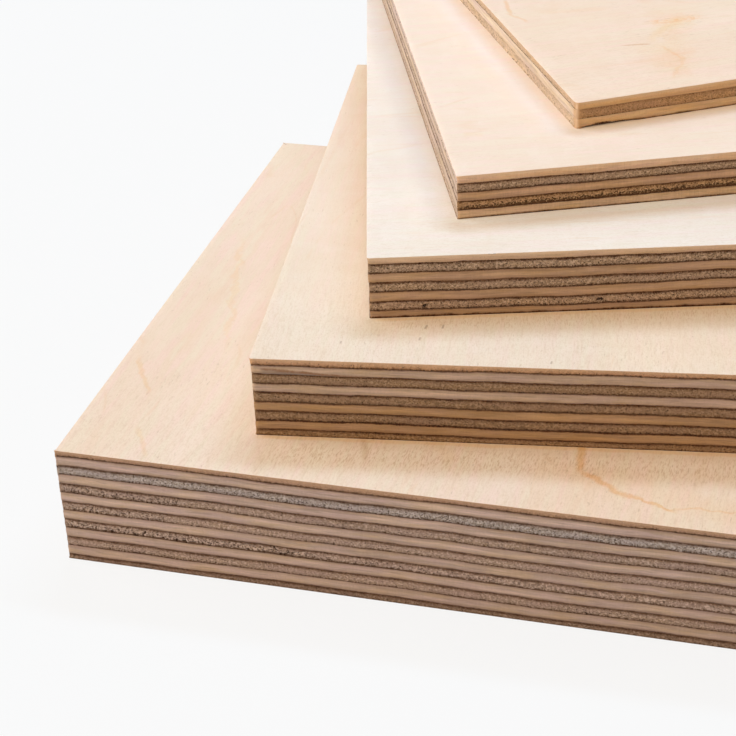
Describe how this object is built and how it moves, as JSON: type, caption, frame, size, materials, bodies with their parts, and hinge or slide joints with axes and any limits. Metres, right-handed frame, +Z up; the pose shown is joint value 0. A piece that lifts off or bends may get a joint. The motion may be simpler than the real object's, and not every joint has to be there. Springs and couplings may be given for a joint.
{
  "type": "stack of plywood sheets",
  "caption": "Stack of square birch plywood sample sheets of graded thickness, fanned round one corner, with each veneer of the cross-banded lay-up as its own piece.",
  "frame": {"origin": "centre of the bottom sheet's underside, which lies on the floor", "axes": "+X to the right along the bottom sheet's front edge, +Y towards its back edge, +Z up"},
  "size_m": [0.1456, 0.191, 0.0493],
  "materials": {
    "outer_veneer": "matte",
    "core_veneer": "matte",
    "crossband_veneer": "matte"
  },
  "bodies": {
    "root": {"bottom_sheet_back_veneer": "outer_veneer", "bottom_sheet_core_03": "core_veneer", "bottom_sheet_core_05": "core_veneer", "bottom_sheet_core_07": "core_veneer", "bottom_sheet_core_09": "core_veneer", "bottom_sheet_core_11": "core_veneer", "bottom_sheet_crossband_02": "crossband_veneer", "bottom_sheet_crossband_04": "crossband_veneer", "bottom_sheet_crossband_06": "crossband_veneer", "bottom_sheet_crossband_08": "crossband_veneer", "bottom_sheet_crossband_10": "crossband_veneer", "bottom_sheet_crossband_12": "crossband_veneer", "bottom_sheet_face_veneer": "outer_veneer", "fourth_sheet_back_veneer": "outer_veneer", "fourth_sheet_core_03": "core_veneer", "fourth_sheet_crossband_02": "crossband_veneer", "fourth_sheet_crossband_04": "crossband_veneer", "fourth_sheet_face_veneer": "outer_veneer", "middle_sheet_back_veneer": "outer_veneer", "middle_sheet_core_03": "core_veneer", "middle_sheet_core_05": "core_veneer", "middle_sheet_crossband_02": "crossband_veneer", "middle_sheet_crossband_04": "crossband_veneer", "middle_sheet_crossband_06": "crossband_veneer", "middle_sheet_face_veneer": "outer_veneer", "second_sheet_back_veneer": "outer_veneer", "second_sheet_core_03": "core_veneer", "second_sheet_core_05": "core_veneer", "second_sheet_core_07": "core_veneer", "second_sheet_crossband_02": "crossband_veneer", "second_sheet_crossband_04": "crossband_veneer", "second_sheet_crossband_06": "crossband_veneer", "second_sheet_crossband_08": "crossband_veneer", "second_sheet_face_veneer": "outer_veneer", "top_sheet_back_veneer": "outer_veneer", "top_sheet_crossband_02": "crossband_veneer", "top_sheet_face_veneer": "outer_veneer"}
  },
  "joints": []
}
